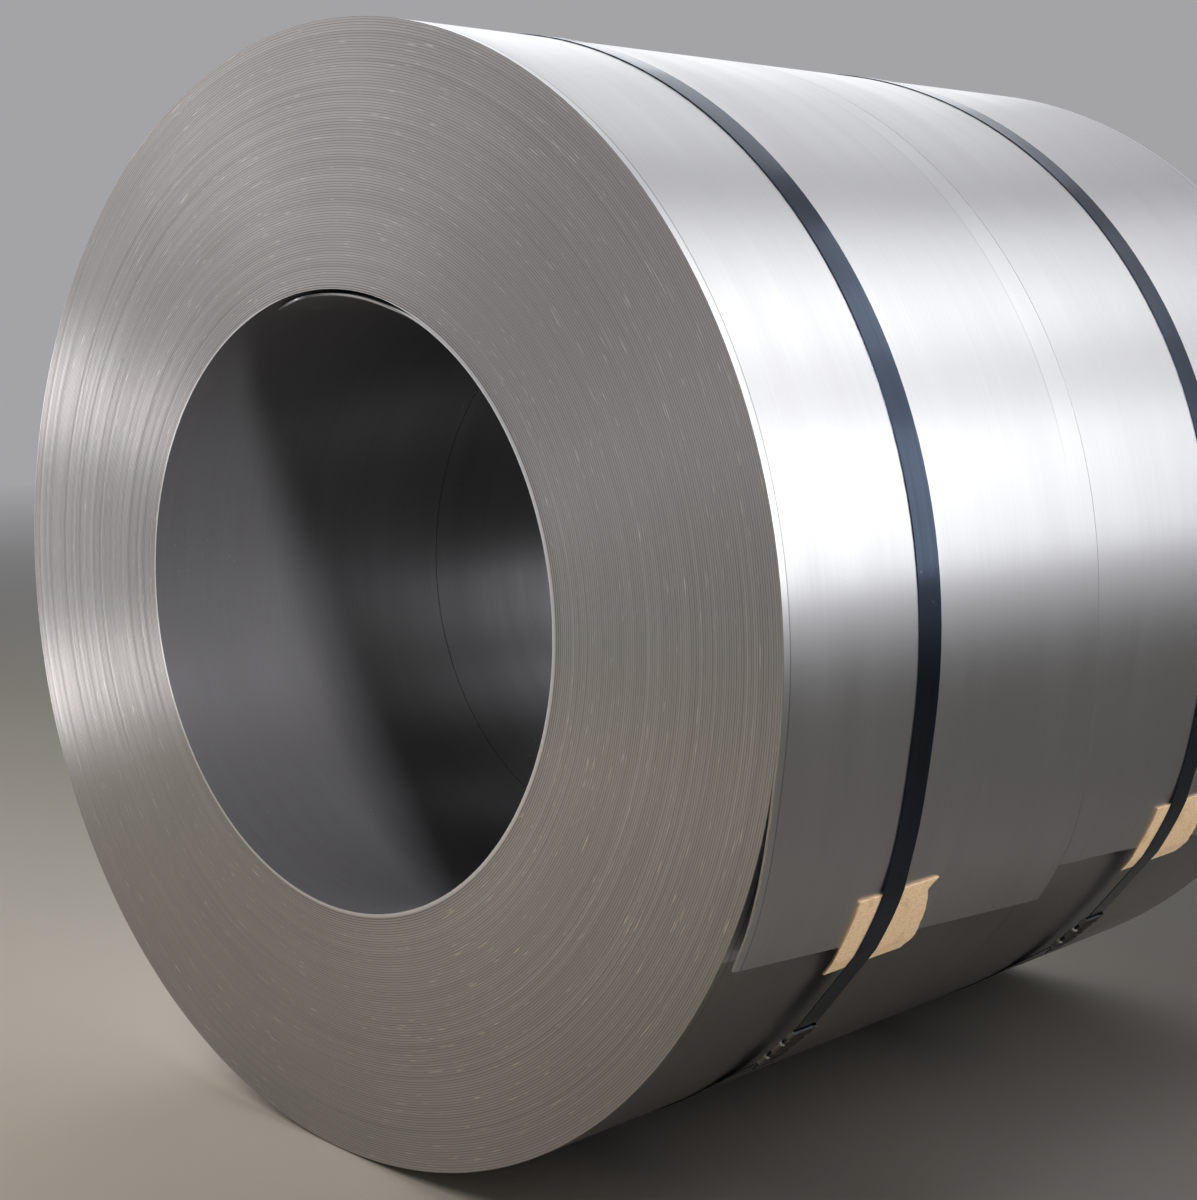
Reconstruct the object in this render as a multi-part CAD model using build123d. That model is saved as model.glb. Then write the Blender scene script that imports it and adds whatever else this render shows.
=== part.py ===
from build123d import *
from math import acos, cos, degrees, pi, radians, sin
import os

# Steel coil: one strip of bare cold-rolled steel wound round an open bore, lying on its side.
# Millimetres. X runs along the bore, from the near end face to the far one, and +Z is up.
# The origin is on the floor, under the middle of the coil. Angles are taken round the bore,
# upwards from the level line towards -Y.

# Strip and winding
outer_diameter = 1120.0
bore_diameter = 610.0
coil_width = 1000.0
strip_thickness = 2.5

# End faces: groups of turns lie a little back from their neighbours
turns_in_group = 7
group_step = 0.8

# Fine line round the barrel and the bore, on which the tail is cut to two lengths
line_place = 476.0
line_width = 0.9
line_depth = 0.6

# Tail of the strip, which springs off the turn below it
tail_angle = 26.0
tail_cut_slope = 0.1
far_tail_setback = 46.0
tail_lift = 9.0
lift_length = 150.0
lift_root_gap = 0.4

# Lead end of the strip in the bore, and the slack turn at the top of the near face
lead_angle = -45.0
lead_span = 50.0
slack_gap = 3.0
slack_half_span = 20.0
slack_depth = 180.0

# Straps, one band each, joined under the tail
strap_width = 32.0
strap_thickness = 0.9
near_strap_place = 197.0
far_strap_place = 698.0
seat_clearance = 0.3
strap_end_above = 18.0
strap_end_below = 12.0

# Crimped seals, which hang a little off the coil
seal_length = 57.0
seal_sheet = 1.2
seal_clearance = 0.3
seal_angle = -41.4
seal_tilt = 2.7
seal_standoff = 5.2
seal_seam = 3.0
crimp_pitch = 24.0
crimp_width = 7.0
crimp_depth = 3.5

# Fibreboard pads between the straps and the cut edge of the tail
pad_thickness = 1.8
pad_width = 90.0
pad_above = 54.0
pad_below = 30.0
near_pad_offset = 2.0
far_pad_offset = 10.0
torn_bite = 9.0
torn_edge = [(0.0, 0.0), (0.15, 0.8), (0.4, 0.5), (0.6, 1.0), (0.85, 0.4), (1.0, 1.0)]

# Worked out from the sizes above
outer_radius = outer_diameter / 2
bore_radius = bore_diameter / 2
near_end = -coil_width / 2
line_x = near_end + line_place
full_turn = 360.0


def arc_angle(length):
    """Degrees round the barrel that an arc of this length covers."""
    return degrees(length / outer_radius)


def tail_drop(place):
    """How far below tail_angle the tail is cut, at this distance from the near end face."""
    setback = far_tail_setback if place >= line_place else 0.0
    return tail_cut_slope * place - setback


longest_drop = max(tail_drop(line_place - line_width), tail_drop(coil_width))
tail_end = -tail_angle - arc_angle(longest_drop + strip_thickness)
lift_start = -tail_angle + arc_angle(lift_length)


def lift(angle):
    """How far the tail stands off, growing smoothly over lift_length and then level."""
    along = radians(lift_start - angle) * outer_radius
    share = min(max(along / lift_length, 0.0), 1.0)
    return tail_lift * (1 - cos(pi * share)) / 2


def wrap_radius(angle):
    """Outer face of the outermost turn, a spiral that loses one thickness in each turn."""
    return outer_radius - strip_thickness * (angle - tail_end) / full_turn + lift(angle)


floor_angle = 270.0
axis_height = wrap_radius(floor_angle) + seat_clearance + strap_thickness


def spot(radius, angle, x=near_end):
    """Point at this radius from the bore's axis."""
    turn = radians(angle)
    return Vector(x, -radius * cos(turn), axis_height + radius * sin(turn))


def steps(start, stop, count):
    """Evenly spaced values from start to stop."""
    return [start + (stop - start) * i / count for i in range(count + 1)]


def spiral(start, stop, offset=0.0, arcs=8):
    """Arcs that follow the outermost turn from one angle to another."""
    ends = steps(start, stop, arcs)
    edges = []
    for a, b in zip(ends, ends[1:]):
        through = [spot(wrap_radius(c) + offset, c) for c in (a, (a + b) / 2, b)]
        edges.append(ThreePointArc(*through))
    return edges


def lifted(start, stop, offset=0.0, spans=6):
    """Smooth curve along the part of the outermost turn that stands off."""
    return Spline(*[spot(wrap_radius(a) + offset, a) for a in steps(start, stop, spans)])


def prism(edges, x, width):
    """Closed outline drawn at the near end face, extruded over width from x."""
    face = Face(Wire(edges)).moved(Location((x - near_end, 0, 0)))
    return extrude(face, width, dir=(1, 0, 0))


def disc(radius, depth, rise=0.0):
    """Cylinder on the bore's axis, or above it by rise, reaching depth in from the near end face."""
    centre = Plane((near_end, 0, axis_height + rise), x_dir=(0, 1, 0), z_dir=(1, 0, 0))
    return extrude(centre * Circle(radius), depth)


def wound_strip():
    """Full width of the wound strip, with its tail sprung off and no bore yet."""
    root_share = acos(1 - 2 * lift_root_gap / tail_lift) / pi
    root = lift_start - arc_angle(root_share * lift_length)
    inner_root = spot(wrap_radius(root) - strip_thickness, root)
    body_root = spot(wrap_radius(full_turn + root), full_turn + root)
    edges = [lifted(tail_end, lift_start)]
    edges += spiral(lift_start, full_turn + root)
    edges.append(Line(body_root, inner_root))
    edges.append(lifted(root, tail_end, -strip_thickness))
    tip = wrap_radius(tail_end)
    edges.append(Line(spot(tip - strip_thickness, tail_end), spot(tip, tail_end)))
    return prism(edges, near_end, coil_width)


def turned_blank():
    """Turned form with the bore, the stepped end faces and the fine line."""
    reach = outer_radius + 2 * tail_lift
    group = turns_in_group * strip_thickness
    near_side = []
    inner = bore_radius
    level = 0.0
    while inner < outer_radius:
        outer = inner + group
        if outer > outer_radius - group / 2:
            outer = reach
        near_side += [(near_end + level, inner), (near_end + level, outer)]
        level = group_step - level
        inner = outer
    far_side = [(-x, r) for x, r in reversed(near_side)]
    left, right = line_x - line_width / 2, line_x + line_width / 2
    barrel_floor = outer_radius - strip_thickness - line_depth
    bore_floor = bore_radius + line_depth
    barrel_line = [(left, reach), (left, barrel_floor), (right, barrel_floor), (right, reach)]
    bore_line = [(right, bore_radius), (right, bore_floor), (left, bore_floor), (left, bore_radius)]
    outline = near_side + barrel_line + far_side + bore_line
    points = [(x, 0, axis_height + r) for x, r in outline]
    face = Face(Polyline(*points, close=True))
    return revolve(face, Axis((0, 0, axis_height), (1, 0, 0)))


def beyond_the_cut():
    """Block outside the tail's cut edge, with its floor in the gap under the tail."""
    middle = -tail_angle - arc_angle(longest_drop / 2)
    height = outer_radius - strip_thickness + tail_lift / 2
    out = spot(1, middle, 0) - spot(0, middle, 0)
    plane = Plane(spot(height, middle, 0), x_dir=(1, 0, 0), z_dir=out)
    top = longest_drop / 2
    bottom = top - longest_drop - 4 * strip_thickness
    last_near = line_place - line_width / 2
    corners = [
        (near_end, top),
        (line_x, top - tail_drop(last_near)),
        (line_x, top - tail_drop(line_place)),
        (-near_end, top - tail_drop(coil_width)),
        (-near_end, bottom),
        (near_end, bottom),
    ]
    return extrude(plane * Face(Polyline(*corners, close=True)), 2 * tail_lift, dir=out)


def lead_end():
    """Sector in which the first turn is missing, so that its cut end shows in the bore."""
    reach = bore_radius + strip_thickness
    a, b = lead_angle, lead_angle + lead_span
    centre = spot(0, 0)
    arc = ThreePointArc(spot(reach, a), spot(reach, (a + b) / 2), spot(reach, b))
    return prism([Line(centre, spot(reach, a)), arc, Line(spot(reach, b), centre)], near_end, coil_width)


def slack_turn():
    """Crescent gap over the first turn, which sags at the top of the near face."""
    turn = bore_radius + strip_thickness
    fall = turn * (1 - cos(radians(slack_half_span)))
    rise = (slack_gap**2 + 2 * turn * slack_gap) / (2 * (fall + slack_gap))
    return disc(turn + slack_gap - rise, slack_depth, rise) - disc(turn, slack_depth)


def make_coil():
    coil = wound_strip() & turned_blank()
    return coil - beyond_the_cut() - lead_end() - slack_turn()


def cut_angle(place):
    """Angle of the tail's cut edge at this distance from the near end face."""
    return -tail_angle - arc_angle(tail_drop(place))


def crest_angle(place):
    """Angle at which pad and strap turn over the tail's edge, clear of its skew cut."""
    return cut_angle(place) - arc_angle(tail_cut_slope * pad_width)


def seal_plane(x=near_end):
    """Plane on the strap's inner face in the middle of the seal, its normal pointing outwards."""
    out = spot(1, seal_angle - seal_tilt, 0) - spot(0, 0, 0)
    below = wrap_radius(full_turn + seal_angle) + seal_standoff
    return Plane(spot(below, seal_angle, x), x_dir=(1, 0, 0), z_dir=out)


def strap_line(place, offset):
    """Closed outline of the strap: over the pad, straight to the seal, and round the coil."""
    edge = crest_angle(place)
    pad_top = edge + arc_angle(pad_above)
    settled = pad_top + arc_angle(strap_width)
    over_pad = 2 * seat_clearance + pad_thickness + offset
    on_coil = seat_clearance + offset
    mouth = seal_length / 2
    plane = seal_plane()
    upper = plane.from_local_coords((0, mouth, offset))
    lower = plane.from_local_coords((0, -mouth, offset))
    lower_radius = (lower - spot(0, 0)).length
    lower_angle = seal_angle - degrees(mouth / lower_radius)
    down = full_turn + lower_angle
    touch = down - degrees(acos((wrap_radius(down) + on_coil) / lower_radius))
    edges = [lifted(edge, pad_top, over_pad)]
    edges.append(Line(edges[-1] @ 1, spot(wrap_radius(settled) + on_coil, settled)))
    edges.append(lifted(settled, lift_start, on_coil))
    edges += spiral(lift_start, touch, on_coil)
    edges.append(Line(edges[-1] @ 1, lower))
    edges.append(Line(lower, upper))
    edges.append(Line(upper, edges[0] @ 0))
    return edges


def crimps(place):
    """Notches that are punched through seal and strap on both long edges."""
    plane = seal_plane(near_end + place)
    half = strap_width / 2 + seal_clearance + seal_sheet
    notches = []
    for side in (-1, 1):
        for along in (-crimp_pitch / 2, crimp_pitch / 2):
            notch = Box(2 * crimp_depth, crimp_width, 6 * seal_sheet)
            notches.append(plane * Pos(side * half, along, strap_thickness) * notch)
    return notches


def make_strap(place):
    """Flat steel band, its two ends lying on each other in the seal."""
    x = near_end + place - strap_width / 2
    band = prism(strap_line(place, strap_thickness), x, strap_width)
    band -= prism(strap_line(place, 0.0), x, strap_width)
    length = strap_end_above + seal_length + strap_end_below
    shift = (strap_end_above - strap_end_below) / 2
    end = Pos(0, shift, 1.5 * strap_thickness) * Box(strap_width, length, strap_thickness)
    band += seal_plane(near_end + place) * end
    return band - crimps(place)


def make_seal(place):
    """Sheet sleeve folded round both ends of the strap, its seam underneath."""
    inside_width = strap_width + 2 * seal_clearance
    inside_height = 2 * strap_thickness + 2 * seal_clearance
    sheet = 2 * seal_sheet
    sleeve = Box(inside_width + sheet, seal_length, inside_height + sheet)
    sleeve -= Box(inside_width, seal_length, inside_height)
    sleeve -= Pos(0, 0, -inside_height / 2) * Box(seal_seam, seal_length, sheet)
    plane = seal_plane(near_end + place)
    return plane * Pos(0, 0, strap_thickness) * sleeve - crimps(place)


def make_pad(place, offset):
    """Board folded over the tail's cut edge, with its far side torn."""
    edge = crest_angle(place)
    top = edge + arc_angle(pad_above)
    inner = seat_clearance
    outer = seat_clearance + pad_thickness
    crest = spot(wrap_radius(edge) + outer, edge)
    under = spot(wrap_radius(edge) + inner, edge)
    seal_mouth = seal_plane().from_local_coords((0, seal_length / 2, 0))
    along = (seal_mouth - crest).normalized() * pad_below
    edges = [lifted(top, edge, outer), Line(crest, crest + along)]
    edges += [Line(crest + along, under + along), Line(under + along, under)]
    edges += [lifted(edge, top, inner)]
    edges += [Line(edges[-1] @ 1, edges[0] @ 0)]
    left = near_end + place + offset - pad_width / 2
    board = prism(edges, left, pad_width)
    out = spot(1, edge, 0) - spot(0, edge, 0)
    plane = Plane(spot(outer_radius, edge, left + pad_width), x_dir=(1, 0, 0), z_dir=out)
    length = pad_above + pad_below
    tear = [(-torn_bite * bite, pad_above - length * share) for share, bite in torn_edge]
    corners = [(torn_bite, 2 * pad_above), (tear[0][0], 2 * pad_above), *tear]
    corners += [(tear[-1][0], -2 * pad_below), (torn_bite, -2 * pad_below)]
    torn = extrude(plane * Face(Polyline(*corners, close=True)), 4 * tail_lift, both=True)
    return board - torn


def write(name, shape):
    export_step(shape, f"parts/{name}.step")


os.makedirs("parts", exist_ok=True)
write("coil", make_coil())
write("strap_near", make_strap(near_strap_place))
write("strap_far", make_strap(far_strap_place))
write("seal_near", make_seal(near_strap_place))
write("seal_far", make_seal(far_strap_place))
write("pad_near", make_pad(near_strap_place, near_pad_offset))
write("pad_far", make_pad(far_strap_place, far_pad_offset))
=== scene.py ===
from math import acos, cos, degrees, pi, radians, sin

import bpy
import numpy as np
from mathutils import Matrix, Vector


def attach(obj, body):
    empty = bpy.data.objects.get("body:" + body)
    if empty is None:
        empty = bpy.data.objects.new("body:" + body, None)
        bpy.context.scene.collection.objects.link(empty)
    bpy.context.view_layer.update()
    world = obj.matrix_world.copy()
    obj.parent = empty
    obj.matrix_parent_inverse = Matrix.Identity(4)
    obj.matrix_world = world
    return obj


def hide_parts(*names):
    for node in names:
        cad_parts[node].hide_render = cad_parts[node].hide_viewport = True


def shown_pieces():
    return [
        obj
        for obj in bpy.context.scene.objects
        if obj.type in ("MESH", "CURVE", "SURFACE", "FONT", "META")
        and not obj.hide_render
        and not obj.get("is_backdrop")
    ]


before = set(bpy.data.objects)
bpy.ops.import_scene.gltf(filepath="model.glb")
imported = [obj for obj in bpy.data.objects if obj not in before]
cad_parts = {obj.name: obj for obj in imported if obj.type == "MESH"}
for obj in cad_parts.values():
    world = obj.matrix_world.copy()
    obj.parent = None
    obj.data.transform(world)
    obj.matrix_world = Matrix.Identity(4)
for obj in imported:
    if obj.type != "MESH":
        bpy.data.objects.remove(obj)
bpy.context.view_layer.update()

# The coil: cold-rolled steel strip 2.5 mm thick, wound 101.4 turns round an open bore, so that
# each turn's sheared edge shows on the end faces as one fine ring. It lies on its side, its tail
# springs off the turn below, and its lead end springs off the turn round it, at the bore's top.
coil_radius = 0.560
coil_width = 1.0
strip_thickness = 0.0025
bore_axis_height = 0.559104
near_end = -coil_width / 2
full_turn = 360.0
sharp_corner = 38.0

# Bends of the barrel's fine line, each by its angle and its distance from the near end face. The
# line is furthest along by the tail's cut edge, which is stepped there.
line_bends = [(-90.0, 0.470), (-24.0, 0.499), (-14.0, 0.489), (-8.0, 0.479), (0.0, 0.470)]
tail_line_place = 0.499
bore_line_place, bore_line_sway = 0.411, 0.010
line_width = 0.0009
line_depth = 0.0007
line_wall = 0.05 * line_width
first_row_place = 0.012
rows_beside_line = 9

tail_angle = 25.6
tail_cut_slope = 0.1
far_tail_setback = 0.045
tail_lift = 0.011
lift_length = 0.190

lead_tip = 108.0
lead_turns = 101
lead_free_span = 44.0
lead_opening = 13.0
lead_sag = 0.0026
lead_gap = 0.0014
lead_gap_fade = 0.045
lead_gap_closing = 18.0
lead_corner_span, lead_corner_depth = 10.5, 0.010

edge_depth, edge_depth_limits = 0.00038, (0.00006, 0.00075)
edge_scatter, edge_sway = 0.00005, 0.00006
group_depth, group_turns = 0.00008, (2.9, 7.3)
groove_depth = 0.00022

turn_stations = 180
free_tail_stations = 12
cut_stations = 6
cut_margin = 0.2


def arc_angle(length):
    """Degrees round the barrel that an arc of this length covers."""
    return degrees(length / coil_radius)


def barrel_line(angle):
    """X of the barrel's fine line, which runs off to the far side towards the tail."""
    return near_end + np.interp((angle + 180) % full_turn - 180, *zip(*line_bends))


def bore_line(angle):
    """X of the fine line in the bore, which lies a little askew."""
    return near_end + bore_line_place + bore_line_sway * np.sin(np.radians(angle))


def tail_drop(place):
    """How far below tail_angle the tail is cut, at this distance from the near end face."""
    setback = far_tail_setback if place >= tail_line_place else 0.0
    return tail_cut_slope * place - setback


longest_drop = tail_cut_slope * coil_width - far_tail_setback
tail_end = -tail_angle - arc_angle(longest_drop + strip_thickness)
lift_start = -tail_angle + arc_angle(lift_length)


def lift(angle):
    """How far the tail stands off, growing smoothly over lift_length and then level."""
    along = radians(lift_start - angle) * coil_radius
    share = min(max(along / lift_length, 0.0), 1.0)
    return tail_lift * (1 - cos(pi * share)) / 2


def wrap_radius(angle):
    """Outer face of the strip, a spiral that loses one thickness in each turn."""
    return coil_radius - strip_thickness * (angle - tail_end) / full_turn + lift(angle)


def make_piece(name, points, faces, replaced, surfaces=None):
    """Smooth mesh with sharp corners, which rides on the coil and stands for a CAD node."""
    mesh = bpy.data.meshes.new(name)
    mesh.from_pydata([tuple(p) for p in points], [], faces)
    mesh.validate()
    if surfaces is not None:
        mesh.polygons.foreach_set("material_index", surfaces)
    mesh.shade_smooth()
    mesh.set_sharp_from_angle(angle=radians(sharp_corner))
    piece = bpy.data.objects.new(name, mesh)
    bpy.context.scene.collection.objects.link(piece)
    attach(piece, "root")
    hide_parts(replaced)
    return piece


class Winding:
    """Points and faces of the coil, gathered row by row."""

    def __init__(self):
        self.points = []
        self.faces = []
        self.surfaces = []

    def add(self, radius, angle, x):
        """Row of points at these radii from the bore's axis, angles upwards from -Y, and x."""
        turn = np.radians(angle)
        across = -np.asarray(radius) * np.cos(turn)
        up = bore_axis_height + np.asarray(radius) * np.sin(turn)
        first = len(self.points)
        self.points.extend(np.column_stack([np.broadcast_to(x, across.shape), across, up]))
        return np.arange(first, len(self.points))

    def cover(self, one, other, surface, flip=False):
        """Quads between two rows of points."""
        quads = np.column_stack([one[:-1], one[1:], other[1:], other[:-1]])
        if flip:
            quads = quads[:, ::-1]
        self.faces.extend(quads.tolist())
        self.surfaces.extend([surface] * len(quads))


barrel_surface, edge_surface, bore_surface = 0, 1, 2
step = full_turn / turn_stations
lead_station = int(round((lead_tip + full_turn * lead_turns - lift_start) / step))
station_angles = lift_start + step * np.arange(lead_station + turn_stations + 1)
free_stations = int(lead_free_span / step)
gap_root = lead_station - free_stations

edge_draws = np.random.default_rng(41)


def edge_depths(turns):
    """How far each turn's edge lies back from the end face, wandering a little round the turn."""
    around = np.radians(station_angles)
    number = np.arange(turns + 2)
    own = edge_scatter * edge_draws.standard_normal(turns + 2)
    sway = edge_sway * edge_draws.random(turns + 2)
    phase = edge_draws.random(turns + 2) * 2 * pi
    short, long = group_turns
    groups = group_depth * np.sin(number / short) * np.sin(number / long + 1.0)
    turn = np.arange(len(station_angles)) / turn_stations
    low = np.interp(turn, number, own + groups)
    wave = np.interp(turn, number, sway) * np.sin(around + np.interp(turn, number, phase))
    return np.clip(edge_depth + low + wave, *edge_depth_limits)


def eased(share):
    """Share from 0 to 1 that starts and stops gently."""
    share = np.clip(share, 0, 1)
    return share**2 * (3 - 2 * share)


def past_lead_root(angle):
    """Degrees past the place where the lead end springs off, round to the same place again."""
    return (angle - lead_tip + lead_free_span) % full_turn


def near_bore_gap(radius, angle):
    """The turns round the bore bulge outwards where the lead end has sprung off them."""
    past = past_lead_root(angle)
    closing = eased((lead_free_span + lead_gap_closing / 2 - past) / lead_gap_closing)
    share = eased(past / lead_opening) * closing
    depth = np.clip(1 - (radius - coil_radius + lead_turns * strip_thickness) / lead_gap_fade, 0, 1)
    return lead_gap * share * depth**2


def flap_radius(radius, angle):
    """The lead end's own radius, which sags into the bore."""
    return radius - lead_sag * eased(past_lead_root(angle) / lead_opening)


def flap_corner(angle):
    """How far the lead end's cut corner lies back from the end face."""
    share = (past_lead_root(angle) - lead_free_span + lead_corner_span) / lead_corner_span
    return lead_corner_depth * np.clip(share, 0, 1)


def wind_coil():
    """Two end faces, the barrel with its tail between them, and the bore with its lead end."""
    coil = Winding()
    spiral = coil_radius - strip_thickness * (station_angles - tail_end) / full_turn
    crest_angles = station_angles[: lead_station + 1]
    tail_share = np.linspace(1, 0, free_tail_stations + 1)[:-1]
    cut_share = np.linspace(1, 0, cut_stations + 1)[:-1]
    last_common = -tail_angle + cut_margin

    def tail_angles(x):
        """Angles of the free tail's stations at this x, from its cut edge upwards."""
        tip = -tail_angle - arc_angle(tail_drop(x - near_end))
        cut = last_common + cut_share * (tip - last_common)
        free = lift_start + tail_share * (last_common - lift_start)
        return np.concatenate([cut, free])

    def end_face(x, inwards):
        """One end face: a ridge on each turn's edge and a groove between turns."""
        flip = inwards < 0
        depth = edge_depths(lead_turns + 1)
        line_r = spiral + near_bore_gap(spiral, station_angles)
        lines = coil.add(line_r, station_angles, x + inwards * (depth + groove_depth))

        back = slice(gap_root + 1, lead_station + 1)
        back_angles = station_angles[back]
        flap_x = x + inwards * (depth[back] + flap_corner(back_angles))
        middle = spiral[: lead_station + 1] - strip_thickness / 2
        flap_middle = flap_radius(middle[back], back_angles)
        middle = middle + near_bore_gap(middle, crest_angles)
        middle[back] = flap_middle
        crest_x = x + inwards * depth[: lead_station + 1]
        crest_x[back] = flap_x
        crests = coil.add(middle, crest_angles, crest_x)

        front = slice(gap_root + turn_stations + 1, None)
        front_angles = station_angles[front]
        flap_inner = coil.add(flap_radius(spiral[front], front_angles), front_angles, flap_x)
        inner = lines[turn_stations:].copy()
        inner[gap_root + 1 :] = flap_inner
        flap_outer = coil.add(flap_radius(spiral[back], back_angles), back_angles, flap_x)
        outer = lines[: lead_station + 1].copy()
        outer[gap_root + 1 :] = flap_outer
        coil.cover(outer, crests, edge_surface, flip)
        coil.cover(crests, inner, edge_surface, flip)

        angles = tail_angles(x)
        raised = np.array([wrap_radius(a) for a in angles])
        tail_x = x + inwards * depth[0]
        tail_outer = coil.add(raised, angles, tail_x)
        tail_middle = coil.add(raised - strip_thickness / 2, angles, tail_x)
        tail_inner = coil.add(raised - strip_thickness, angles, tail_x)
        middle_row = np.append(tail_middle, crests[0])
        coil.cover(np.append(tail_outer, outer[0]), middle_row, edge_surface, flip)
        coil.cover(middle_row, np.append(tail_inner, inner[0]), edge_surface, flip)

        body = outer[: turn_stations + 1]
        wall = lines[gap_root : gap_root + turn_stations + 1]
        barrel_loop = np.concatenate([tail_outer, body, tail_inner[::-1], tail_outer[:1]])
        bore_loop = np.concatenate([wall, flap_inner, flap_outer[::-1], wall[:1]])
        return barrel_loop, bore_loop

    def barrel_row(x_at, sunk):
        """Row round the barrel and both sides of its free tail."""
        angles = tail_angles(x_at(np.array(-tail_angle)))
        raised = np.array([wrap_radius(a) for a in angles])
        body_angles = station_angles[: turn_stations + 1]
        tail_outer = coil.add(raised - sunk, angles, x_at(angles))
        body = coil.add(spiral[: turn_stations + 1] - sunk, body_angles, x_at(body_angles))
        tail_inner = coil.add(raised - strip_thickness, angles, x_at(angles))
        return np.concatenate([tail_outer, body, tail_inner[::-1], tail_outer[:1]])

    def bore_row(x_at, sunk):
        """Row round the bore and both sides of its free lead end."""
        wall = slice(gap_root, gap_root + turn_stations + 1)
        wall_angles = station_angles[wall]
        wall_radius = spiral[wall] + near_bore_gap(spiral[wall], wall_angles) + sunk
        body = coil.add(wall_radius, wall_angles, x_at(wall_angles))
        front = slice(gap_root + turn_stations + 1, lead_station + turn_stations + 1)
        back = slice(gap_root + 1, lead_station + 1)
        angles = station_angles[back]
        flap_inner = coil.add(flap_radius(spiral[front], angles) + sunk, angles, x_at(angles))
        flap_outer = coil.add(flap_radius(spiral[back], angles), angles, x_at(angles))
        return np.concatenate([body, flap_inner, flap_outer[::-1], body[:1]])

    def rows_along(line):
        """X of each row as a function of the angle, and how deep it is sunk into the line."""
        half = line_width / 2
        first = near_end + first_row_place
        shares = np.linspace(0, 1, rows_beside_line)
        rows = []
        for share in shares:
            rows.append((lambda a, s=share: first + s * (line(a) - half - first), 0.0))
        for off in (line_wall - half, half - line_wall):
            rows.append((lambda a, o=off: line(a) + o, line_depth))
        for share in shares:
            rows.append((lambda a, s=share: line(a) + half + s * (-first - half - line(a)), 0.0))
        return rows

    near_barrel, near_bore = end_face(near_end, 1)
    far_barrel, far_bore = end_face(-near_end, -1)
    skins = (
        (barrel_row, barrel_line, near_barrel, far_barrel, barrel_surface),
        (bore_row, bore_line, near_bore, far_bore, bore_surface),
    )
    for row, line, first, last, surface in skins:
        rows = [first] + [row(x_at, sunk) for x_at, sunk in rows_along(line)] + [last]
        for one, other in zip(rows, rows[1:]):
            coil.cover(one, other, surface, flip=surface == bore_surface)
    return coil


coil = wind_coil()
wound_coil = make_piece("wound_coil", coil.points, coil.faces, "coil", coil.surfaces)

# Most of a noise's values lie between these two.
usual_noise = (0.3, 0.7)


def node(tree, kind, inputs=None, **settings):
    """One shader node, its settings made and its inputs set or joined."""
    made = tree.nodes.new(kind)
    for name, value in settings.items():
        setattr(made, name, value)
    for socket, value in (inputs or {}).items():
        if isinstance(value, bpy.types.NodeSocket):
            tree.links.new(value, made.inputs[socket])
        else:
            made.inputs[socket].default_value = value
    return made


def calc(tree, operation, *values):
    """Output of a Math node."""
    inputs = dict(enumerate(values))
    return node(tree, "ShaderNodeMath", inputs, operation=operation).outputs[0]


def weighted_sum(tree, *parts):
    """Sum of values, each of them times its own weight."""
    total = None
    for value, weight in parts:
        part = calc(tree, "MULTIPLY", value, weight)
        total = part if total is None else calc(tree, "ADD", total, part)
    return total


def spread(tree, value, low, high, to_low=0.0, to_high=1.0):
    """The value's range from low to high, spread over another range."""
    ranges = {"From Min": low, "From Max": high, "To Min": to_low, "To Max": to_high}
    return node(tree, "ShaderNodeMapRange", {"Value": value, **ranges}).outputs[0]


def blend(tree, share, one, other):
    """Colour between two others, by a Mix node's sockets for its share and its two colours."""
    inputs = {0: share, 6: one, 7: other}
    return node(tree, "ShaderNodeMix", inputs, data_type="RGBA").outputs[2]


def noise(tree, point, scale, detail=2.0):
    """Cloudy noise round a point."""
    inputs = {"Vector": point, "Scale": scale, "Detail": detail}
    return node(tree, "ShaderNodeTexNoise", inputs).outputs[0]


def object_place(tree):
    """Coordinates on the object itself, whole and along each axis."""
    where = node(tree, "ShaderNodeTexCoord").outputs["Object"]
    return where, node(tree, "ShaderNodeSeparateXYZ", {0: where}).outputs


def join(tree, source, target, socket):
    """Joins a value to a socket of a shader, or of a group's end."""
    tree.links.new(source, target.inputs[socket])


def new_group(name, inputs, outputs):
    """Shader node group with its named sockets, and the nodes at its two ends."""
    group = bpy.data.node_groups.new(name, "ShaderNodeTree")
    for in_out, sockets in (("INPUT", inputs), ("OUTPUT", outputs)):
        for socket in sockets:
            group.interface.new_socket(socket, in_out=in_out, socket_type="NodeSocketFloat")
    return group, group.nodes.new("NodeGroupInput"), group.nodes.new("NodeGroupOutput")


def place_group(tree, group, **values):
    """Outputs of the group in a material or in another group, with its values here."""
    placed = node(tree, "ShaderNodeGroup", node_tree=group)
    for socket, value in values.items():
        placed.inputs[socket].default_value = value
    return placed.outputs


def new_material(name):
    """Material with its own tree, its Principled shader and output joined."""
    material = bpy.data.materials.new(name)
    material.use_nodes = True
    tree = material.node_tree
    tree.nodes.clear()
    shader = node(tree, "ShaderNodeBsdfPrincipled")
    output = node(tree, "ShaderNodeOutputMaterial")
    tree.links.new(shader.outputs[0], output.inputs[0])
    return material, tree, shader


def sheen_along_strip(tree, shader, strength):
    """Sheen of metal that is rolled or sheared along the winding."""
    shader.inputs["Anisotropic"].default_value = strength
    shader.inputs["Anisotropic Rotation"].default_value = 0.25
    grain = node(tree, "ShaderNodeTangent", direction_type="RADIAL", axis="X")
    join(tree, grain.outputs[0], shader, "Tangent")


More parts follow.
